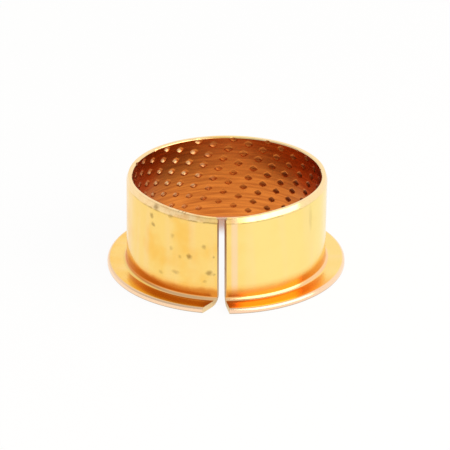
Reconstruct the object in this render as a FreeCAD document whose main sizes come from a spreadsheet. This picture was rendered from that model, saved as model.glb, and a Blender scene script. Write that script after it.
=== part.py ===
"""A flanged bushing wrapped from one strip of bearing metal, standing on its flange.

The strip is pressed all over with rows of diamond lubrication pockets, rolled into a ring whose
ends stay apart as an open seam, and bent outwards along its lower edge into a flange.
The seam faces -Y and the bore runs along +Z. The origin is the centre of the thrust face.
"""

import FreeCAD, Part

import math
import os

import Sketcher

NODE = "flanged_bushing"

# The driving dimensions, in millimetres, with angles in degrees.
SIZES = {
    "bore_diameter": 80.0,
    "wall": 2.5,
    "overall_length": 40.0,
    "flange_width": 8.25,
    "bend_radius": 1.8,
    "flange_edge_break": 0.4,
    "flange_top_break": 1.0,
    "lead_in_length": 2.0,
    "lead_in_angle": 20.0,
    "mouth_chamfer": 0.4,
    "seam_gap": 2.4,
    "seam_bevel_left": 0.6,
    "seam_bevel_right": 1.0,
    "seam_corner_clip": 1.1,
    "notch_angle_left": 31.0,
    "notch_angle_right": 14.0,
    "pocket_length": 3.6,
    "pocket_width": 2.4,
    "pocket_depth": 0.45,
    "pocket_pitch": 6.5,
    "row_spacing": 5.23,
    "row_shift": 2.17,
    "row_climb_angle": 17.4,
    "first_pocket_around": 5.13,
    "first_pocket_drop": 1.59,
}

# How far a cutting shape runs past the metal, so that it always cuts clean through.
OVERRUN = 1.0
# The least share of a pocket that an edge of the strip may leave standing.
LEAST_SHARE = 0.2
# How many short cones stand for the round of the bend, on the bore side and on the outside.
BEND_FLATS = 3

# Places on the section, as formulas of the driving dimensions.
BORE = "Sizes.bore_diameter / 2"
OUTSIDE = f"({BORE} + Sizes.wall)"
BEND_INSIDE = "(Sizes.wall + Sizes.bend_radius)"
BEND_CENTRE = f"({OUTSIDE} + Sizes.bend_radius)"
FLANGE_EDGE = f"({OUTSIDE} + Sizes.flange_width)"
TOP = "Sizes.overall_length"
HALF_GAP = "Sizes.seam_gap / 2"


def make_sheet(doc):
    """The sheet that holds each driving dimension in a cell of its own."""
    sheet = doc.addObject("Spreadsheet::Sheet", "Sizes")
    for row, (name, value) in enumerate(SIZES.items(), start=1):
        sheet.set(f"A{row}", name)
        sheet.set(f"B{row}", str(value))
        sheet.setAlias(f"B{row}", name)
    doc.recompute()
    return sheet


def read_rule(sheet, rule):
    """What a formula of the driving dimensions comes to, as a plain number."""
    found = sheet.evalExpression(rule)
    return float(getattr(found, "Value", found))


def new_sketch(body, name, role):
    """An empty sketch on one of the body's own origin planes."""
    sketch = body.newObject("Sketcher::SketchObject", name)
    plane = next(f for f in body.Origin.OriginFeatures if f.Role == role)
    sketch.AttachmentSupport = [(plane, "")]
    sketch.MapMode = "FlatFace"
    return sketch


def constrain(sheet, sketch, kind, places, rule):
    """A measured constraint whose value follows a formula."""
    measured = Sketcher.Constraint(kind, *places, read_rule(sheet, rule))
    index = sketch.addConstraint(measured)
    sketch.setExpression(f"Constraints[{index}]", rule)


def draw_outline(sheet, sketch, corners):
    """Closes an outline of straight sides through corners that formulas pin across and up."""
    spots = [FreeCAD.Vector(*(read_rule(sheet, rule) for rule in corner), 0) for corner in corners]
    for index, start in enumerate(spots):
        end = spots[(index + 1) % len(spots)]
        sketch.addGeometry(Part.LineSegment(start, end), False)
    for index, (across, up) in enumerate(corners):
        after = (index + 1) % len(corners)
        sketch.addConstraint(Sketcher.Constraint("Coincident", index, 2, after, 1))
        constrain(sheet, sketch, "DistanceX", (-1, 1, index, 1), across)
        constrain(sheet, sketch, "DistanceY", (-1, 1, index, 1), up)


def bend_corners(radius):
    """Corners on a quarter round about the bend's centre, from the sleeve down to the flange."""
    angles = [90 * step / BEND_FLATS for step in range(BEND_FLATS + 1)]
    return [
        (f"{BEND_CENTRE} - {radius} * cos({angle})", f"{BEND_INSIDE} - {radius} * sin({angle})")
        for angle in angles
    ]


def roll_blank(doc, sheet):
    """The strip's section, bent into a flange at its foot and turned about the bore."""
    body = doc.addObject("PartDesign::Body", "Blank")
    sketch = new_sketch(body, "StripSection", "XZ_Plane")
    lead_in = f"({OUTSIDE} - Sizes.lead_in_length * tan(Sizes.lead_in_angle))"
    edge_break, top_break = "Sizes.flange_edge_break", "Sizes.flange_top_break"
    draw_outline(sheet, sketch, [
        (BORE, f"{TOP} - Sizes.mouth_chamfer"),
        *bend_corners(BEND_INSIDE),
        (f"{FLANGE_EDGE} - {edge_break}", "0"),
        (FLANGE_EDGE, edge_break),
        (FLANGE_EDGE, f"Sizes.wall - {top_break}"),
        (f"{FLANGE_EDGE} - {top_break}", "Sizes.wall"),
        *reversed(bend_corners("Sizes.bend_radius")),
        (OUTSIDE, f"{TOP} - Sizes.lead_in_length"),
        (lead_in, TOP),
        (f"{BORE} + Sizes.mouth_chamfer", TOP),
    ])
    turned = body.newObject("PartDesign::Revolution", "RolledStrip")
    turned.Profile = sketch
    turned.ReferenceAxis = (sketch, ["V_Axis"])
    turned.Angle = 360
    body.Tip = turned
    doc.recompute()
    return body


def cut_away(doc, body, name, sketch, height=None):
    """A cut along the sketch's normal, either through all or to a height, that must bite."""
    before = body.Shape.Volume
    cut = body.newObject("PartDesign::Pocket", name)
    cut.Profile = sketch
    cut.Reversed = True
    if height is None:
        cut.Type = "ThroughAll"
    else:
        cut.Type = "Length"
        cut.setExpression("Length", height)
    body.Tip = cut
    doc.recompute()
    if body.Shape.Volume > before - 1e-3:
        raise RuntimeError(f"{name} cut nothing")


def part_ends(doc, sheet, body):
    """The open seam: its gap, its bevelled outer edges, its clipped corners and the notch.

    The flange's ends are trimmed at a slant to each side, so the seam opens out into a notch.
    """
    gap = new_sketch(body, "SeamOutline", "XY_Plane")
    inner, outer = f"-({BORE} - {OVERRUN})", f"-({FLANGE_EDGE} + {OVERRUN})"
    draw_outline(sheet, gap, [
        (f"-{HALF_GAP}", inner),
        (f"-{HALF_GAP}", outer),
        (HALF_GAP, outer),
        (HALF_GAP, inner),
    ])
    cut_away(doc, body, "Seam", gap)

    notch = new_sketch(body, "NotchOutline", "XY_Plane")
    reach = f"({FLANGE_EDGE} + {OVERRUN} - {BORE})"
    draw_outline(sheet, notch, [
        (f"-{HALF_GAP}", f"-{BORE}"),
        (f"-{HALF_GAP} - {reach} * tan(Sizes.notch_angle_left)", outer),
        (f"{HALF_GAP} + {reach} * tan(Sizes.notch_angle_right)", outer),
        (HALF_GAP, f"-{BORE}"),
    ])
    cut_away(doc, body, "Notch", notch, "Sizes.wall + Sizes.bend_radius / 2")

    bevel = new_sketch(body, "BevelOutline", "XY_Plane")
    bevel.setExpression("AttachmentOffset.Base.z", BEND_INSIDE)
    left, right = "Sizes.seam_bevel_left", "Sizes.seam_bevel_right"
    past = f"-({OUTSIDE} + {OVERRUN})"
    draw_outline(sheet, bevel, [
        (f"-{HALF_GAP}", f"-({OUTSIDE} - {left})"),
        (f"-{HALF_GAP} - {left}", f"-{OUTSIDE}"),
        (f"-{HALF_GAP} - {left}", past),
        (f"{HALF_GAP} + {right}", past),
        (f"{HALF_GAP} + {right}", f"-{OUTSIDE}"),
        (HALF_GAP, f"-({OUTSIDE} - {right})"),
    ])
    cut_away(doc, body, "SeamBevels", bevel)

    corners = new_sketch(body, "CornerOutline", "XZ_Plane")
    clip = "Sizes.seam_corner_clip"
    draw_outline(sheet, corners, [
        (f"-{HALF_GAP}", f"{TOP} - {clip}"),
        (HALF_GAP, f"{TOP} - {clip}"),
        (f"{HALF_GAP} + {clip}", TOP),
        (f"{HALF_GAP} + {clip}", f"{TOP} + {OVERRUN}"),
        (f"-{HALF_GAP} - {clip}", f"{TOP} + {OVERRUN}"),
        (f"-{HALF_GAP} - {clip}", TOP),
    ])
    cut_away(doc, body, "ClippedCorners", corners)


def pocket_punch(sheet):
    """The punch that presses one pocket: a pyramid on a diamond, its point down in the metal.

    Level 0 is the strip's surface, where the diamond has the pocket's length and width. The
    punch widens upwards past it by as much as it narrows below.
    """
    depth = sheet.pocket_depth
    across, along = sheet.pocket_length, sheet.pocket_width
    point = FreeCAD.Vector(0, 0, -depth)
    corners = [(across, 0), (0, along), (-across, 0), (0, -along)]
    upper = [FreeCAD.Vector(x, y, depth) for x, y in corners]
    outlines = [upper]
    for index, corner in enumerate(upper):
        outlines.append([point, corner, upper[(index + 1) % len(upper)]])
    faces = [Part.Face(Part.makePolygon(outline + outline[:1])) for outline in outlines]
    return Part.Solid(Part.Shell(faces))


def place_on_strip(sheet, around, drop):
    """The placement of a punch on the strip's inner face.

    around is measured along the bore from the middle of the seam, and drop down the strip
    from its mouth. Level 0 of the punch lies on the face, and its upward axis leaves the metal.
    """
    radius = sheet.bore_diameter / 2
    turn = around / radius - math.pi / 2
    outward = FreeCAD.Vector(math.cos(turn), math.sin(turn), 0)
    along = FreeCAD.Vector(-math.sin(turn), math.cos(turn), 0)
    spot = outward * radius + FreeCAD.Vector(0, 0, sheet.overall_length - drop)
    downward = FreeCAD.Vector(0, 0, -1)
    return FreeCAD.Placement(spot, FreeCAD.Rotation(along, downward, -outward, "ZXY"))


def pocket_places(sheet):
    """Where the pockets lie on the flat strip, as pairs of around and drop.

    Each row climbs towards the mouth as it goes round. A pocket that the mouth or an end of
    the strip cuts through is kept if enough of it is left.
    """
    climb = math.tan(math.radians(sheet.row_climb_angle))
    girth = math.pi * sheet.bore_diameter
    spare_long = sheet.pocket_length * (0.5 - LEAST_SHARE)
    spare_short = sheet.pocket_width * (0.5 - LEAST_SHARE)
    left_end = sheet.seam_gap / 2 - spare_long
    right_end = girth - left_end
    lowest = sheet.overall_length - sheet.wall - sheet.bend_radius - sheet.pocket_width / 2
    rows = int((lowest + girth * climb) / sheet.row_spacing) + 2
    places = []
    for row in range(-1, rows):
        for step in range(-rows, int(girth / sheet.pocket_pitch) + 1):
            ahead = step * sheet.pocket_pitch + row * sheet.row_shift
            around = sheet.first_pocket_around + ahead
            drop = sheet.first_pocket_drop - ahead * climb + row * sheet.row_spacing
            if left_end < around < right_end and -spare_short < drop < lowest:
                places.append((around, drop))
    return places


def press_pockets(doc, sheet, body):
    """The blank with all its pockets pressed in, as the finished bushing."""
    punch = pocket_punch(sheet)
    marks = []
    for around, drop in pocket_places(sheet):
        mark = punch.copy()
        mark.Placement = place_on_strip(sheet, around, drop)
        marks.append(mark)
    pockets = doc.addObject("Part::Feature", "Pockets")
    pockets.Shape = Part.makeCompound(marks)
    bushing = doc.addObject("Part::Cut", "Bushing")
    bushing.Base = body
    bushing.Tool = pockets
    bushing.Label = NODE
    doc.recompute()
    print("pockets:", len(marks))
    return bushing


def check_model(doc, bushing):
    """Stops if any object failed or the bushing isn't one sound solid."""
    for item in doc.Objects:
        if "Invalid" in item.State or "Error" in item.State:
            raise RuntimeError(f"{item.Label} failed: {item.State}")
    shape = bushing.Shape
    if shape.isNull() or not shape.isValid() or len(shape.Solids) != 1:
        raise RuntimeError(f"{bushing.Label} is not one valid solid")


def main():
    doc = FreeCAD.newDocument("FlangedBushing")
    sheet = make_sheet(doc)
    body = roll_blank(doc, sheet)
    part_ends(doc, sheet, body)
    bushing = press_pockets(doc, sheet, body)
    check_model(doc, bushing)
    os.makedirs("parts", exist_ok=True)
    bushing.Shape.exportStep(f"parts/{bushing.Label}.step")
    print("written:", bushing.Label, f"{bushing.Shape.Volume:.1f} mm3")


main()
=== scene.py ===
import math

import bpy
import numpy as np
from mathutils import Matrix, Vector


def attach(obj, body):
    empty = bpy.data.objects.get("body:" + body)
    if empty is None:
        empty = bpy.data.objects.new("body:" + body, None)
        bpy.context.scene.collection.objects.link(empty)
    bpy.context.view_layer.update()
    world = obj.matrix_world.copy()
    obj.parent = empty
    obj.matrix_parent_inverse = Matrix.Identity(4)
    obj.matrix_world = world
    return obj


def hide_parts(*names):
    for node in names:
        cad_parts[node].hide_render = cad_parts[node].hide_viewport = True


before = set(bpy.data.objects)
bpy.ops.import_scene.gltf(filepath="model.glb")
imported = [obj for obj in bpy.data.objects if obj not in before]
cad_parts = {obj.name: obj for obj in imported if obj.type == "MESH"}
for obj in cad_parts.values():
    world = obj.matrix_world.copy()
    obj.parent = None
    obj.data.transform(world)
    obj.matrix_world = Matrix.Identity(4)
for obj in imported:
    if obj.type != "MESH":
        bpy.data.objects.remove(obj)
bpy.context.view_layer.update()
mm = 0.001

# The bushing's sizes in millimetres and degrees, the same as the solid's, and how finely it is
# drawn. The flange's two edge breaks are rounds here.
bushing = {
    "bore": 80.0,
    "wall": 2.5,
    "length": 40.0,
    "flangeWidth": 8.25,
    "bendRadius": 1.8,
    "flangeRound": 0.4,
    "flangeTopRound": 1.3,
    "leadInLength": 2.0,
    "leadInAngle": 20.0,
    "mouthChamfer": 0.4,
    "seamGap": 2.4,
    "bevelLeft": 0.6,
    "bevelRight": 1.0,
    "bevelFade": (0.4, 0.6),    # the bevels fade in from above the flange's top to above the bend
    "clip": 1.1,
    "notchLeft": 31.0,
    "notchRight": 14.0,
    "notchFade": 0.2,           # the notches fade out from this far above the flange's top
    "softEdge": 0.12,           # the small round that handling leaves on a machined edge
    "columns": 640,             # steps round the ring, about 0.4 mm apart
    "boreStep": 0.39,           # step down the bore
    "wallRows": 6,              # steps down the outside, which is plain
    "flatRows": 3,              # steps across each other flat that is longer than flatFrom
    "flatFrom": 1.5,
    "slide": 0.5,               # radians from the seam over which columns slide onto its ends
    "sharpAngle": 38.0,
}

# The lubrication pockets, laid out on the flat strip from its mouth and its seam.
pockets = {
    "length": 4.2,
    "width": 2.7,
    "depth": 0.35,
    "cornerRound": 0.45,
    "sideRun": 1.0,             # how far a pocket's side runs in from its outline to the floor
    "pitch": 6.5,
    "rowSpacing": 5.23,
    "rowShift": 2.17,
    "climb": 17.4,
    "firstAround": 5.13,
    "firstDrop": 1.59,
    "lowest": 34.5,             # the drop below which the strip stays plain
    "highlightFrom": (0.75, 0.3),  # middle of each pocket's painted highlight
    "highlightSize": (1.5, 1.05),
    "snap": 0.35,               # share of a step within which a point moves onto an outline
}

# Gentle waves that rolling leaves in the wall, which draw out its reflections.
waves = {
    "height": 0.035,
    "rise": 8.0,                # they reach their full height this far above the flange
    "fade": 8.0,                # waves of this count are half as high as a slow one
    "counts": (3, 7, 12, 19, 31),
    "phases": (0.4, 2.1, 4.0, 1.3, 5.2),
}

# How the free ring differs from a true round at its mouth, as it came off the rolls: for each
# bulge, degrees round from the seam, its half width in degrees, mm outwards and mm upwards.
freeShape = {
    "leanPower": 1.4,
    "bulges": (
        (0, 14, 0.2, -0.2),
        (41, 24, -1.2, 0.5),
        (120, 30, 1.2, 0.2),
        (235, 25, 0.5, 0.2),
        (316, 25, -1.7, 0.6),
    ),
}

boreRadius = bushing["bore"] / 2
outside = boreRadius + bushing["wall"]
flangeEdge = outside + bushing["flangeWidth"]
bendTop = bushing["wall"] + bushing["bendRadius"]
leadInFoot = bushing["length"] - bushing["leadInLength"]
touch = 1e-6                    # lengths closer than this are the same
farOff = 9.0                    # the distance that stands for no pocket near


# An sRGB hex colour as linear red, green, blue and alpha.
def linearColour(code):
    parts = [int(code[i:i + 2], 16) / 255 for i in (1, 3, 5)]
    return [p / 12.92 if p <= 0.04045 else ((p + 0.055) / 1.055) ** 2.4 for p in parts] + [1.0]


# A node with its settings, and each input set to a value or linked to another node's socket.
# An input is given by its name, or by its number where its name is shared.
def addNode(tree, kind, settings=None, inputs=None):
    node = tree.nodes.new(kind)
    for name, value in (settings or {}).items():
        setattr(node, name, value)
    for key, value in (inputs or {}).items():
        if isinstance(value, bpy.types.NodeSocket):
            tree.links.new(value, node.inputs[key])
        else:
            node.inputs[key].default_value = value
    return node


# 3t^2 - 2t^3 between 0 and 1, flat outside.
def smoothStep(low, high, value):
    t = np.clip((value - low) / (high - low), 0, 1)
    return t * t * (3 - 2 * t)


# A path through corners, each rounded by an arc of its own radius. An arc's points are its
# centre plus the radius turned in equal steps from one tangent point to the other.
def roundedPath(corners):
    spots = np.array([c[:2] for c in corners], float)
    points = []
    for index, (*_, radius, steps) in enumerate(corners):
        here = spots[index]
        back = spots[index - 1] - here
        ahead = spots[(index + 1) % len(corners)] - here
        back, ahead = back / np.linalg.norm(back), ahead / np.linalg.norm(ahead)
        half = math.acos(float(np.clip(back @ ahead, -1, 1))) / 2
        middle = (back + ahead) / np.linalg.norm(back + ahead)
        centre = here + middle * radius / math.sin(half)
        start = here + back * radius / math.tan(half) - centre
        turn = (math.pi - 2 * half) * (1 if back[0] * ahead[1] - back[1] * ahead[0] < 0 else -1)
        for angle in np.linspace(0, turn, steps + 1):
            cos, sin = math.cos(angle), math.sin(angle)
            points.append(centre + (start[0] * cos - start[1] * sin, start[0] * sin + start[1] * cos))
    return np.array(points)


# The strip's section as a closed path of radius and height, from the rim down the bore, under
# the flange, round its edge and up the outside. The straight stretches get rows of their own.
def sectionPath():
    b = bushing
    top = b["length"]
    lead = b["leadInLength"] * math.tan(math.radians(b["leadInAngle"]))
    soft, chamfer = b["softEdge"], b["mouthChamfer"]
    corners = [
        (boreRadius + chamfer, top, soft, 3),
        (boreRadius, top - chamfer, soft, 2),
        (boreRadius, 0, bendTop, 12),
        (flangeEdge, 0, b["flangeRound"], 4),
        (flangeEdge, b["wall"], b["flangeTopRound"], 6),
        (outside, b["wall"], b["bendRadius"], 9),
        (outside, leadInFoot, soft, 2),
        (outside - lead, top, soft, 3),
    ]
    path = roundedPath(corners)
    pieces = []
    for start, end in zip(path, np.roll(path, -1, axis=0)):
        length = np.linalg.norm(end - start)
        count = b["flatRows"] if length > b["flatFrom"] else 1
        if np.allclose((start[0], end[0]), boreRadius, rtol=0, atol=touch):
            count = round(length / b["boreStep"])
        elif np.allclose((start[0], end[0]), outside, rtol=0, atol=touch):
            count = b["wallRows"]
        share = np.arange(count)[:, None] / count
        pieces.append(start + (end - start) * share)
    return np.concatenate(pieces)


# How far on around the bore and down it each place lies from the nearest pocket's centre, a point
# of the slanting lattice, and whether that pocket is missing because the strip is plain there.
def pocketOffset(around, drop):
    p = pockets
    climb = math.tan(math.radians(p["climb"]))
    ahead, down = around - p["firstAround"], drop - p["firstDrop"]
    row = np.round((down + ahead * climb) / p["rowSpacing"])
    step = np.round((ahead - row * p["rowShift"]) / p["pitch"])
    centreAhead = step * p["pitch"] + row * p["rowShift"]
    centreDown = row * p["rowSpacing"] - centreAhead * climb
    return ahead - centreAhead, down - centreDown, centreDown + p["firstDrop"] > p["lowest"]


# How far outside a pocket's outline each place lies, negative within, with places given around
# the bore and down from the mouth. It is the exact distance to a rhombus whose corners are
# rounded.
def pocketDistance(around, drop):
    p = pockets
    x, y, plain = pocketOffset(around, drop)
    x, y = np.abs(x), np.abs(y)
    a, b = p["length"] / 2, p["width"] / 2
    keep = 1 - p["cornerRound"] / (a * b / math.hypot(a, b))
    a, b = a * keep, b * keep
    share = np.clip((-2 * (a * x - b * y) + a * a - b * b) / (a * a + b * b), -1, 1)
    away = np.hypot(x - 0.5 * a * (1 - share), y - 0.5 * b * (1 + share))
    distance = away * np.sign(x * b + y * a - a * b) - p["cornerRound"]
    return np.where(plain, farOff, distance)


# 0 in the middle of each pocket's painted highlight, and 1 at its edge.
def pocketHighlight(around, drop):
    x, y, _ = pocketOffset(around, drop)
    (right, down), (wide, tall) = pockets["highlightFrom"], pockets["highlightSize"]
    return np.hypot((x - right) / wide, (y - down) / tall)


# How deep the pockets are at each place: a quarter sine from the outline in to the flat floor.
def pocketDepth(distance):
    inward = np.clip(-distance / pockets["sideRun"], 0, 1)
    return pockets["depth"] * np.sin(inward * math.pi / 2)


# How far an end of the strip stands off the seam's middle plane, at a radius and a height: half
# the gap, more where its outer edge is bevelled or its corner clipped, and more again outwards
# along the flange, at the notch's slant.
def endOffset(radius, height, bevel, notch):
    b = bushing
    above, over = b["bevelFade"]
    sleeve = smoothStep(b["wall"] + above, bendTop + over, height)
    flange = 1 - smoothStep(b["wall"] + b["notchFade"], bendTop, height)
    bevelled = np.clip(radius - (outside - bevel), 0, None)
    clipped = np.clip(height - (b["length"] - b["clip"]), 0, None)
    slant = np.clip(radius - boreRadius, 0, None) * math.tan(math.radians(notch))
    return b["seamGap"] / 2 + sleeve * bevelled + clipped + flange * slant


# The angle of every point round from the seam's middle: even steps from one seam face to the
# other, and near the seam they slide so that the first and last columns lie on the strip's ends.
def columnAngles(path):
    b = bushing
    radius, height = path.T
    right = np.arcsin(endOffset(radius, height, b["bevelRight"], b["notchRight"]) / radius)[:, None]
    left = np.arcsin(endOffset(radius, height, b["bevelLeft"], b["notchLeft"]) / radius)[:, None]
    plain = math.asin(b["seamGap"] / b["bore"])
    angle = np.linspace(plain, 2 * math.pi - plain, b["columns"])[None, :]
    nearRight = 1 - smoothStep(0, b["slide"], angle - plain)
    nearLeft = 1 - smoothStep(0, b["slide"], 2 * math.pi - plain - angle)
    return angle + (right - plain) * nearRight - (left - plain) * nearLeft


# The slope of the pockets' distance around the bore and down it, from two places a little apart.
def pocketSlope(around, drop):
    tiny = 0.01
    ahead = pocketDistance(around + tiny, drop) - pocketDistance(around - tiny, drop)
    down = pocketDistance(around, drop + tiny) - pocketDistance(around, drop - tiny)
    return ahead / (2 * tiny), down / (2 * tiny)


# The points with the pockets pressed into the bore: there the radius is the bore's plus the
# pockets' depth. A point close to a pocket's outline first moves onto it, back along the slope.
def pressPockets(radius, height, angle):
    b = bushing
    around, drop = angle * boreRadius, b["length"] - height
    inBore = (radius < boreRadius + b["mouthChamfer"] + touch) & (height > bendTop)
    onFace = (radius < boreRadius + touch) & inBore
    inner = np.zeros_like(onFace)
    inner[1:-1, 1:-1] = onFace[1:-1, 1:-1] & onFace[:-2, 1:-1] & onFace[2:, 1:-1]
    distance = pocketDistance(around, drop)
    slopeAround, slopeDown = pocketSlope(around, drop)
    near = inner & (np.abs(distance) < pockets["snap"] * b["boreStep"])
    around = np.where(near, around - distance * slopeAround, around)
    drop = np.where(near, drop - distance * slopeDown, drop)
    distance = np.where(inBore, pocketDistance(around, drop), farOff)
    sunk = np.maximum(radius, boreRadius + pocketDepth(distance))
    radius = np.where(inBore, sunk, radius)
    return radius, b["length"] - drop, around / boreRadius, distance, pocketHighlight(around, drop)


# The ring as it springs free: a sum of sine waves round the sleeve, and bulges that are bells
# over the angle and grow towards the mouth.
def releaseRing(radius, height, angle):
    b, w = bushing, waves
    rounds = zip(w["counts"], w["phases"])
    wave = sum(np.sin(count * angle + phase) / (1 + count / w["fade"]) for count, phase in rounds)
    radius = radius + wave * w["height"] * smoothStep(b["wall"], b["wall"] + w["rise"], height)
    lean = np.clip((height - b["wall"]) / (b["length"] - b["wall"]), 0, 1) ** freeShape["leanPower"]
    for middle, width, outwards, upwards in freeShape["bulges"]:
        apart = (np.degrees(angle) - middle + 180) % 360 - 180
        bulge = np.exp(-0.5 * (apart / width) ** 2) * lean
        radius = radius + outwards * bulge
        height = height + upwards * bulge
    return radius, height


# The strip laid flat: mm round the outside from the seam's middle, and mm along the section,
# counted so that the outside wall has its own height.
def stripMap(path, angle):
    run = np.concatenate([[0], np.cumsum(np.linalg.norm(np.diff(path, axis=0), axis=1))])
    foot = len(path) - 1 - np.argmax(path[::-1, 0] > outside + touch)
    run = run - run[foot] + path[foot, 1]
    return np.stack([angle * outside, np.broadcast_to(run[:, None], angle.shape)], axis=-1)


# How far along the strip each point of the section lies: down the sleeve, round the bend by its
# angle, and out along the flange.
def travelAlong(path):
    b = bushing
    centre = (outside + b["bendRadius"], bendTop)
    middle = b["bendRadius"] + b["wall"] / 2
    angle = np.arctan2(*np.clip(np.subtract(centre, path), 0, None).T[::-1])
    sleeve = b["length"] - np.maximum(path[:, 1], bendTop)
    onBend = np.where(path[:, 1] < bendTop, angle * middle, 0)
    return sleeve + onBend + np.clip(path[:, 0] - centre[0], 0, None)


# One seam face as triangles that zip the section's bore side to its outer side, in the order of
# how far along the strip each step of either side is. Indices are rows of the section.
def seamFace(path):
    rows = len(path)
    split = len(path) - 1 - int(np.argmax(path[::-1, 0]))
    boreSide = np.arange(0, split + 1)
    outerSide = np.concatenate([[0], np.arange(rows - 1, split - 1, -1)])
    travel = travelAlong(path)
    reached = [np.maximum.accumulate(travel[side]) for side in (boreSide, outerSide)]
    middles = [(r[:-1] + r[1:]) / 2 for r in reached]
    onBore = np.repeat([True, False], [len(middles[0]), len(middles[1])])
    onBore = onBore[np.argsort(np.concatenate(middles), kind="stable")]
    i = np.cumsum(onBore) - onBore
    j = np.cumsum(~onBore) - ~onBore
    nextBore = boreSide[np.minimum(i + 1, len(boreSide) - 1)]
    nextOuter = outerSide[np.minimum(j + 1, len(outerSide) - 1)]
    faces = np.stack([boreSide[i], np.where(onBore, nextBore, nextOuter), outerSide[j]], axis=1)
    a, b, c = faces.T
    return faces[(a != b) & (b != c) & (c != a)]


# A mesh object from points, faces, a flat map in millimetres for the faces' corners, and named
# values for the points.
def meshObject(name, spots, faces, maps, values):
    mesh = bpy.data.meshes.new(name)
    corners = np.concatenate([f.ravel() for f in faces]).astype(np.int32)
    counts = np.concatenate([np.full(len(f), f.shape[1], np.int32) for f in faces])
    starts = np.concatenate([[0], np.cumsum(counts)[:-1]]).astype(np.int32)
    mesh.vertices.add(len(spots))
    mesh.vertices.foreach_set("co", (spots * mm).astype(np.float32).ravel())
    mesh.loops.add(len(corners))
    mesh.loops.foreach_set("vertex_index", corners)
    mesh.polygons.add(len(counts))
    mesh.polygons.foreach_set("loop_start", starts)
    mesh.update(calc_edges=True)
    mesh.validate()
    layer = mesh.uv_layers.new(name="strip")
    places = np.concatenate([m.reshape(-1, 2) for m in maps])
    layer.data.foreach_set("uv", (places * mm).astype(np.float32).ravel())
    for key, value in values.items():
        attribute = mesh.attributes.new(key, "FLOAT", "POINT")
        attribute.data.foreach_set("value", value.astype(np.float32).ravel())
    made = bpy.data.objects.new(name, mesh)
    bpy.context.scene.collection.objects.link(made)
    return made


# The whole bushing. Columns of points run round the ring and rows along the section, as x, y, z =
# r sin a, -r cos a, h. Quads join neighbouring points, closed along the section, and a face of
# triangles closes each end of the strip. On the band that closes the section, the map goes on
# past its last row instead of back to its first.
def makeBushing():
    b = bushing
    path = sectionPath()
    rows, columns = len(path), b["columns"]
    radius, height = (np.repeat(part[:, None], columns, axis=1) for part in path.T)
    radius, height, angle, distance, highlightPlace = pressPockets(radius, height, columnAngles(path))
    radius, height = releaseRing(radius, height, angle)
    spots = np.stack([radius * np.sin(angle), -radius * np.cos(angle), height], axis=-1)
    index = np.arange(rows * columns).reshape(rows, columns)
    below = np.roll(index, -1, axis=0)
    quads = np.stack([index[:, :-1], index[:, 1:], below[:, 1:], below[:, :-1]], axis=-1)
    ends = seamFace(path)
    faces = [quads.reshape(-1, 4), index[ends, 0], index[ends[:, ::-1], columns - 1]]
    strip = stripMap(path, angle).reshape(-1, 2)
    maps = [strip[f] for f in faces]
    closing = maps[0].reshape(rows, columns - 1, 4, 2)[-1]
    closing[:, 2:, 1] = closing[:, :2, 1] + np.linalg.norm(path[0] - path[-1])
    # Each point's place within its pocket's painted highlight, for the bore's colours.
    values = {"pocketDistance": distance, "pocketHighlight": highlightPlace}
    made = meshObject("wrapped_bushing", spots.reshape(-1, 3), faces, maps, values)
    innerRow = np.arange(rows) < np.argmax(path[:, 0] > outside)
    boreRow = innerRow & (path[:, 1] < b["length"] - b["mouthChamfer"])
    slots = np.concatenate([np.repeat(boreRow * 1, columns - 1), np.full(2 * len(ends), 2)])
    made.data.polygons.foreach_set("material_index", slots.astype(np.int32))
    made.data.shade_smooth()
    made.data.set_sharp_from_angle(angle=math.radians(b["sharpAngle"]))
    triangles = quads.size // 2 + 2 * len(ends)
    print("bushing:", len(made.data.vertices), "points,", triangles, "triangles")
    return made


# What the colours go by, in millimetres: the place, how far it is to the right, to the back and
# up, how far from the bore's axis, and how far to either side of the seam's middle plane.
def placeMeasures(tree):
    found = addNode(tree, "ShaderNodeTexCoord").outputs["Object"]
    place = addNode(tree, "ShaderNodeVectorMath", {"operation": "SCALE"}, {0: found, "Scale": 1 / mm})
    place = place.outputs["Vector"]
    parts = addNode(tree, "ShaderNodeSeparateXYZ", None, {"Vector": place}).outputs
    flat = addNode(tree, "ShaderNodeVectorMath", {"operation": "MULTIPLY"}, {0: place, 1: (1, 1, 0)})
    radius = addNode(tree, "ShaderNodeVectorMath", {"operation": "LENGTH"}, {0: flat.outputs["Vector"]})
    aside = addNode(tree, "ShaderNodeMath", {"operation": "ABSOLUTE"}, {0: parts["X"]})
    return {
        "place": place,
        "across": parts["X"],
        "back": parts["Y"],
        "height": parts["Z"],
        "radius": radius.outputs["Value"],
        "aside": aside.outputs["Value"],
    }


# The bushing's measures: the places, the strip laid flat, and the patterns that follow either.
# A pattern is noise with its size in mm along each axis, its detail, roughness and dimensions.
def bushingMeasures(tree, patterns):
    measures = placeMeasures(tree)
    strip = addNode(tree, "ShaderNodeUVMap", {"uv_map": "strip"}).outputs["UV"]
    strip = addNode(tree, "ShaderNodeVectorMath", {"operation": "SCALE"}, {0: strip, "Scale": 1 / mm})
    measures["strip"] = strip.outputs["Vector"]
    for name, (where, size, detail, rough, dimensions) in patterns.items():
        scaled = addNode(tree, "ShaderNodeVectorMath", {"operation": "DIVIDE"}, {
            0: measures[where], 1: size,
        })
        pattern = addNode(tree, "ShaderNodeTexNoise", {"noise_dimensions": dimensions}, {
            "Vector": scaled.outputs["Vector"], "Scale": 1.0, "Detail": detail, "Roughness": rough,
        })
        measures[name] = pattern.outputs["Fac"]
    return measures


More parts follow.
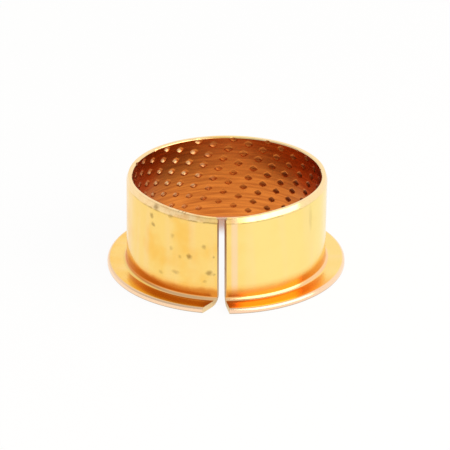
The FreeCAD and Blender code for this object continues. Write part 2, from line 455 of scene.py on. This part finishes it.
# A colour with tints laid over it in turn. A tint is its colour, its strength and ramps that
# multiply the strength. A ramp goes smoothly from 0, or from a third number where it has one, to
# 1 as its measure goes from the first number to the second.
def tinted(tree, measures, below, tints):
    for code, factor, *ramps in tints:
        for name, start, end, *low in ramps:
            ramp = addNode(tree, "ShaderNodeMapRange", {"interpolation_type": "SMOOTHSTEP"}, {
                "Value": measures[name],
                "From Min": start,
                "From Max": end,
                "To Min": low[0] if low else 0.0,
            })
            product = addNode(tree, "ShaderNodeMath", {"operation": "MULTIPLY"}, {
                0: factor, 1: ramp.outputs["Result"],
            })
            factor = product.outputs["Value"]
        mix = addNode(tree, "ShaderNodeMix", {"data_type": "RGBA"}, {0: factor, 6: below})
        mix.inputs[7].default_value = linearColour(code)
        below = mix.outputs[2]
    return below


# A new material and its main shader, with the shader's constants set.
def newMaterial(name, constants):
    material = bpy.data.materials.new(name)
    material.use_nodes = True
    shader = material.node_tree.nodes["Principled BSDF"]
    for key, value in constants.items():
        shader.inputs[key].default_value = value
    return material, shader


# Ramps that several tints share.
onWall = ("radius", outside + 0.9, outside + 0.2)
onBend = ("radius", outside + 1.4, outside + 0.9)
onFlange = ("radius", outside + 0.9, outside + 1.4)
atEdge = ("radius", flangeEdge - 1.35, flangeEdge - 0.55)
onFront = ("back", -12, -36, 0.1)
onLeft = ("across", 20, -20, 0.45)

# The outside and the flange, a tin bronze rolled to a bright brassy yellow.
rolled = {
    "colour": "#FFD87C",
    "rough": (0.1275, 0.2295),
    "cloudRange": (0.3, 0.7),   # of the clouds, over which the roughness rises
    "patterns": {
        "clouds": ("place", (14, 14, 14), 4.0, 0.5, "3D"),
        "uneven": ("place", (5, 5, 5), 3.0, 0.5, "3D"),
        "mottle": ("place", (2.8, 2.8, 2.8), 2.0, 0.5, "3D"),
        "bands": ("strip", (8, 90, 1), 2.0, 0.5, "3D"),
        "lines": ("strip", (60, 0.25, 1), 3.0, 0.5, "3D"),    # drawn coarser than real ones
    },
    "ragged": {"footShadeEdge": -2.0, "turnedEdge": -1.0},    # mm that the uneven pattern moves them
    "rubbedBand": 5.6,                                   # mm round from the seam's middle
    "lineStrength": 0.12,
    "lineDepth": 0.01,
    "tints": (
        # Thicker oxide in soft clouds, and painted light that makes the right side lighter and
        # yellower.
        ("#FFCB62", 1.0, ("clouds", 0.4, 0.65)),
        ("#FFE892", 0.75, ("across", -8, 14)),
        # Faint bands across the strip, and one rubbed band beside the seam.
        ("#FFDCB4", 0.25, ("bands", 0.45, 0.75)),
        ("#FFDCB4", 0.7, ("fromBand", 2.0, 0.6)),
        # Painted reflection of the flange at the wall's foot: amber, then brown shade with a ragged
        # top, more on the left.
        ("#FFAA3C", 0.765, onWall, ("height", 10.5, 5.5)),
        ("#D67A26", 0.9, onWall, ("footShadeEdge", 7.4, 4.9), onLeft),
        # A painted highlight along the bend, faint on the far left.
        ("#FFCE96", 1.0, onBend, ("height", bendTop - 0.3, bendTop - 0.8), ("across", -36, -20, 0.1)),
        # A painted reflection of the wall on the front of the flange's top, darker beside the seam.
        ("#FFBE38", 0.9, onFlange, onFront),
        ("#FC9020", 0.81, onFlange, onFront, ("across", -4, 12)),
        ("#9A4A12", 0.63, onFlange, onFront, ("aside", 11, 4)),
        # The flange's sheared edge, and a grey painted reflection on the round under it.
        ("#FFDCBC", 0.9, atEdge),
        ("#A89C88", 0.8, atEdge, ("height", 0.6, 0.3)),
        # The turned lead-in, with dull patches and a dull line below it on the front left.
        ("#FFE0AC", 0.85, ("turnedEdge", leadInFoot - 0.8, leadInFoot), ("aside", 2, 16, 0.235)),
        ("#ECB068", 0.6, ("turnedEdge", leadInFoot - 1.0, leadInFoot - 0.4), ("mottle", 0.35, 0.7),
         onLeft, onFront),
        ("#75541F", 0.6, ("turnedEdge", leadInFoot - 1.2, leadInFoot - 0.7),
         ("turnedEdge", leadInFoot, leadInFoot - 0.6), ("uneven", 0.4, 0.6, 0.2), onLeft, onFront),
    ),
}

# Tarnish spots on the outside: mm round from the seam's middle, by way of +X, mm up from the
# thrust face, mm wide, mm tall and strength. Past 40 mm up they lie on the rim's top.
tarnish = {
    "colour": "#75541F",
    "fade": (0.62, 0.1),        # from a spot's edge to its middle, in shares of its size
    "stirSize": 1.6,
    "stirBy": 1.2,
    "spots": (
        (234.6, 38.6, 4.2, 3.0, 0.6),
        (253.0, 21.2, 3.0, 2.6, 0.6),
        (261.8, 14.9, 3.4, 2.8, 0.55),
        (243.4, 37.4, 3.4, 2.2, 0.4),
        (232.2, 34.1, 2.8, 2.8, 0.5),
        (233.5, 30.5, 2.8, 2.4, 0.5),
        (259.5, 26.7, 2.4, 2.4, 0.4),
        (244.7, 28.8, 2.6, 2.6, 0.25),
        (244.0, 23.0, 2.2, 2.2, 0.25),
        (248.7, 20.0, 2.0, 2.0, 0.25),
        (238.9, 10.7, 2.8, 2.2, 0.25),
        (246.5, 12.8, 4.4, 2.0, 0.3),
        (260.1, 10.8, 2.2, 2.0, 0.25),
        (263.9, 22.5, 1.4, 1.4, 0.35),
        (263.9, 14.3, 1.4, 1.4, 0.35),
        (247.1, 40.8, 0.8, 2.2, 0.6),
        (248.7, 40.8, 0.8, 2.4, 0.6),
        (250.3, 40.8, 0.8, 2.2, 0.6),
        (45.1, 31.0, 3.0, 13.0, 0.14),
    ),
}


# A measure and a tint for each tarnish spot: the distance from its middle in shares of its size.
# The place is stirred a little first, so that no spot is a true oval.
def tarnishTints(tree, measures):
    t = tarnish
    stir = addNode(tree, "ShaderNodeTexNoise", None, {
        "Vector": measures["place"], "Scale": 1 / t["stirSize"], "Detail": 1.0,
    })
    stirred = addNode(tree, "ShaderNodeVectorMath", {"operation": "MULTIPLY_ADD"}, {
        0: stir.outputs["Color"], 1: (t["stirBy"], t["stirBy"], 0), 2: measures["strip"],
    })
    tints = []
    for number, (around, up, wide, tall, strength) in enumerate(t["spots"]):
        middle = ((around + t["stirBy"] / 2) / wide, (up + t["stirBy"] / 2) / tall, 0)
        scaled = addNode(tree, "ShaderNodeVectorMath", {"operation": "DIVIDE"}, {
            0: stirred.outputs["Vector"], 1: (wide, tall, 1),
        })
        away = addNode(tree, "ShaderNodeVectorMath", {"operation": "DISTANCE"}, {
            0: scaled.outputs["Vector"], 1: middle,
        })
        name = f"fromSpot{number}"
        measures[name] = away.outputs["Value"]
        tints.append((t["colour"], strength, (name, *t["fade"])))
    return tints


# Rolled tin bronze, polished by the rolls: a warm yellow mirror, slightly blurred, with long faint
# lines round the ring, soft clouds of oxide, dark tarnish spots, and painted light, shade and
# reflections.
def rolledBronze():
    material, shader = newMaterial("rolled_bronze_polished", {"Metallic": 1.0})
    tree = material.node_tree
    measures = bushingMeasures(tree, rolled["patterns"])
    for name, shift in rolled["ragged"].items():
        edge = addNode(tree, "ShaderNodeMath", {"operation": "MULTIPLY_ADD"}, {
            0: measures["uneven"], 1: shift, 2: measures["height"],
        })
        measures[name] = edge.outputs["Value"]
    along = addNode(tree, "ShaderNodeSeparateXYZ", None, {"Vector": measures["strip"]}).outputs["X"]
    past = addNode(tree, "ShaderNodeMath", {"operation": "SUBTRACT"}, {
        0: along, 1: rolled["rubbedBand"],
    })
    away = addNode(tree, "ShaderNodeMath", {"operation": "ABSOLUTE"}, {0: past.outputs["Value"]})
    measures["fromBand"] = away.outputs["Value"]
    colour = tinted(tree, measures, linearColour(rolled["colour"]), rolled["tints"])
    colour = tinted(tree, measures, colour, tarnishTints(tree, measures))
    tree.links.new(colour, shader.inputs["Base Color"])
    smooth, dull = rolled["rough"]
    low, high = rolled["cloudRange"]
    rough = addNode(tree, "ShaderNodeMapRange", None, {
        "Value": measures["clouds"],
        "From Min": low,
        "From Max": high,
        "To Min": smooth,
        "To Max": dull,
    })
    tree.links.new(rough.outputs["Result"], shader.inputs["Roughness"])
    bump = addNode(tree, "ShaderNodeBump", None, {
        "Height": measures["lines"],
        "Strength": rolled["lineStrength"],
        "Distance": rolled["lineDepth"] * mm,
    })
    tree.links.new(bump.outputs["Normal"], shader.inputs["Normal"])
    return material


# The bore's colours. A pocket's inside fades in across its outline. The next ramps pick the part of
# each pocket that gets a painted highlight, the rest of it, and where the pockets get painted shade.
inPocket = ("pocketDistance", 0.15, -0.35)
highlightPart = ("pocketHighlight", 1.2, 0.6)
shadedPart = ("pocketHighlight", 0.6, 1.2)
pocketShadeSide = ("across", -6, 26, 0.222)
pocketShadeTop = ("height", 33, 25, 0.75)
pressed = {
    "colour": "#F6923E",
    "rough": 0.22,
    "pocketRough": 0.46,
    "patterns": {"lines": ("strip", (22, 1.1, 1), 3.0, 0.6, "2D")},
    "lineStrength": 0.25,
    "lineDepth": 0.03,
    "tints": (
        # Darker streaks that the rolls drew round the bore.
        ("#C86C2C", 1.0, ("lines", 0.2, 0.8)),
        # Painted shade on both sides, and high up in the middle.
        ("#8A482A", 0.5, ("aside", 20, 39)),
        ("#8A482A", 0.3, ("height", 24, 38), ("aside", 18, 8)),
        # Painted highlights in the pockets on the left, where the light from the right falls into them.
        ("#FFE2AC", 1.0, inPocket, highlightPart, ("across", -4, -22), ("across", -39, -30, 0.4),
         ("height", 12, 24, 0.2)),
        # Painted shade in the other pockets, which fills them whole on the right, where they face away
        # from the light.
        ("#6E3216", 0.9, inPocket, shadedPart, pocketShadeSide, pocketShadeTop),
        ("#6E3216", 0.9, inPocket, highlightPart, ("across", -6, 6), pocketShadeSide, pocketShadeTop),
    ),
}


# Pressed tin bronze in the bore: a copper red mirror, blurred by fine streaks, with the pockets satin
# from the die, and painted highlights and shade in the pockets and on the bore's sides.
def boreBronze():
    material, shader = newMaterial("bore_bronze_pressed", {"Metallic": 1.0})
    tree = material.node_tree
    measures = bushingMeasures(tree, pressed["patterns"])
    for name in ("pocketDistance", "pocketHighlight"):
        measures[name] = addNode(tree, "ShaderNodeAttribute", {"attribute_name": name}).outputs["Fac"]
    colour = tinted(tree, measures, linearColour(pressed["colour"]), pressed["tints"])
    tree.links.new(colour, shader.inputs["Base Color"])
    name, start, end = inPocket
    rough = addNode(tree, "ShaderNodeMapRange", {"interpolation_type": "SMOOTHSTEP"}, {
        "Value": measures[name], "From Min": start, "From Max": end,
        "To Min": pressed["rough"], "To Max": pressed["pocketRough"],
    })
    tree.links.new(rough.outputs["Result"], shader.inputs["Roughness"])
    bump = addNode(tree, "ShaderNodeBump", None, {
        "Height": measures["lines"],
        "Strength": pressed["lineStrength"],
        "Distance": pressed["lineDepth"] * mm,
    })
    tree.links.new(bump.outputs["Normal"], shader.inputs["Normal"])
    return material


# Sheared tin bronze on the strip's ends: a pale yellow, matt as a cut leaves it and lightly
# tarnished.
cut = {
    "colour": "#E8CFA0",
    "rough": 0.42,
}


def cutBronze():
    material, _ = newMaterial("cut_bronze_tarnished", {
        "Metallic": 1.0, "Base Color": linearColour(cut["colour"]), "Roughness": cut["rough"],
    })
    return material


# How the bushing stands in front of the camera, in degrees and millimetres.
shot = {
    "azimuth": 2.65,
    "elevation": 25.64,
    "distance": 2500.0,
    "lens": 468.7,
    "sensor": 36.0,
    "lookAt": 20.0,             # height of the point that the frame was measured from
    "aimRight": -0.43,          # the aim's shift from it, across and up in the picture
    "aimUp": -2.43,
    "clip": (0.1, 10),          # metres
}


def makeCamera():
    turn, rise = math.radians(shot["azimuth"]), math.radians(shot["elevation"])
    back = Vector((math.sin(turn) * math.cos(rise), -math.cos(turn) * math.cos(rise), math.sin(rise)))
    right = Vector((math.cos(turn), math.sin(turn), 0))
    up = back.cross(right)
    aim = Vector((0, 0, shot["lookAt"])) + right * shot["aimRight"] + up * shot["aimUp"]
    data = bpy.data.cameras.new("camera")
    data.lens, data.sensor_width = shot["lens"], shot["sensor"]
    data.clip_start, data.clip_end = shot["clip"]
    camera = bpy.data.objects.new("camera", data)
    bpy.context.scene.collection.objects.link(camera)
    camera.matrix_world = Matrix.Translation((aim + back * shot["distance"]) * mm) @ Matrix(
        (right, up, back)).transposed().to_4x4()
    bpy.context.scene.camera = camera


# The studio: a pale floor, a white sky that is greyer high up in front and on the left, and one
# soft box on the right. Inside the ring the floor is painted with a coppery shade and glows in its
# middle for reflected rays, painted light that gives the bore's reflections their bright middle and
# darker front and sides.
outsideRing = ("radius", 41, 47)
studio = {
    "floorSize": 3.0,
    "floorColour": "#F4F2EE",
    "floorRough": 0.9,
    "floorGlow": 0.93,
    "floorTints": (
        # Painted coppery shade on the floor inside the ring, towards its sides, seen only in
        # reflections.
        ("#8A5A44", 0.85, ("glossyRay", 0, 1), ("radius", 47, 41), ("aside", 12, 38)),
    ),
    "glowTints": (
        ("#FFFFFF", 1.0, ("cameraRay", 0, 1), outsideRing),
        ("#FFFFFF", 1.0, ("cameraRay", 0, 1), ("back", 38, 24, 0.05)),
        ("#FFFFFF", 1.0, ("glossyRay", 0, 1), outsideRing),
        # Inside the ring the floor glows for reflected rays, most in its middle: painted light for the
        # bore's reflections.
        ("#FFFFFF", 0.95, ("glossyRay", 0, 1), ("aside", 38, 12, 0.15), ("back", -38, 30, 0.442)),
    ),
    "skyTints": (
        ("#000000", 0.32, ("skyBack", 0.55, 0.0), ("skyUp", 0.2, 0.45)),
        ("#000000", 0.15, ("skyRight", -0.05, -0.5), ("skyUp", 0.06, 0.3)),
        ("#FFFFFF", 1.0, ("cameraRay", 0, 1)),
    ),
    "keyWay": (0.80, -0.53, 0.55),
    "keyDistance": 1.0,
    "keySize": (1.3, 1.0),
    "keyPower": 10.0,
    "keyColour": "#FFEFD2",
}


def makeFloor():
    size = studio["floorSize"]
    corners = [(-size, -size, 0), (size, -size, 0), (size, size, 0), (-size, size, 0)]
    mesh = bpy.data.meshes.new("floor")
    mesh.from_pydata(corners, [], [(0, 1, 2, 3)])
    floor = bpy.data.objects.new("floor", mesh)
    bpy.context.scene.collection.objects.link(floor)
    material, shader = newMaterial("studio_floor", {"Roughness": studio["floorRough"]})
    tree = material.node_tree
    measures = placeMeasures(tree)
    path = addNode(tree, "ShaderNodeLightPath")
    measures["cameraRay"] = path.outputs["Is Camera Ray"]
    measures["glossyRay"] = path.outputs["Is Glossy Ray"]
    colour = tinted(tree, measures, linearColour(studio["floorColour"]), studio["floorTints"])
    tree.links.new(colour, shader.inputs["Base Color"])
    glowing = tinted(tree, measures, linearColour("#000000"), studio["glowTints"])
    share = addNode(tree, "ShaderNodeMath", {"operation": "MULTIPLY"}, {
        0: glowing, 1: studio["floorGlow"],
    })
    glow = addNode(tree, "ShaderNodeEmission", None, {"Color": linearColour("#FFFFFF")})
    mixed = addNode(tree, "ShaderNodeMixShader", None, {
        "Fac": share.outputs["Value"], 1: shader.outputs["BSDF"], 2: glow.outputs["Emission"],
    })
    tree.links.new(mixed.outputs["Shader"], tree.nodes["Material Output"].inputs["Surface"])
    mesh.materials.append(material)


def makeSky():
    world = bpy.data.worlds.new("studio")
    world.use_nodes = True
    bpy.context.scene.world = world
    tree = world.node_tree
    way = addNode(tree, "ShaderNodeTexCoord").outputs["Generated"]
    parts = addNode(tree, "ShaderNodeSeparateXYZ", None, {"Vector": way}).outputs
    path = addNode(tree, "ShaderNodeLightPath")
    measures = {
        "skyRight": parts["X"],
        "skyBack": parts["Y"],
        "skyUp": parts["Z"],
        "cameraRay": path.outputs["Is Camera Ray"],
    }
    colour = tinted(tree, measures, linearColour("#FFFFFF"), studio["skyTints"])
    tree.links.new(colour, tree.nodes["Background"].inputs["Color"])


def makeLamp():
    lamp = bpy.data.lights.new("key_right", "AREA")
    lamp.shape, lamp.energy = "RECTANGLE", studio["keyPower"]
    lamp.color = linearColour(studio["keyColour"])[:3]
    lamp.size, lamp.size_y = studio["keySize"]
    way = Vector(studio["keyWay"])
    soft = bpy.data.objects.new("key_right", lamp)
    soft.location = way.normalized() * studio["keyDistance"]
    soft.rotation_euler = way.to_track_quat("Z", "Y").to_euler()
    bpy.context.scene.collection.objects.link(soft)


made = makeBushing()
for material in (rolledBronze(), boreBronze(), cutBronze()):
    made.data.materials.append(material)
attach(made, "root")
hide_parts("flanged_bushing")
print("materials: 3")

makeCamera()
makeFloor()
makeSky()
makeLamp()
bpy.context.scene.view_settings.view_transform = "Standard"
print("studio and camera set")
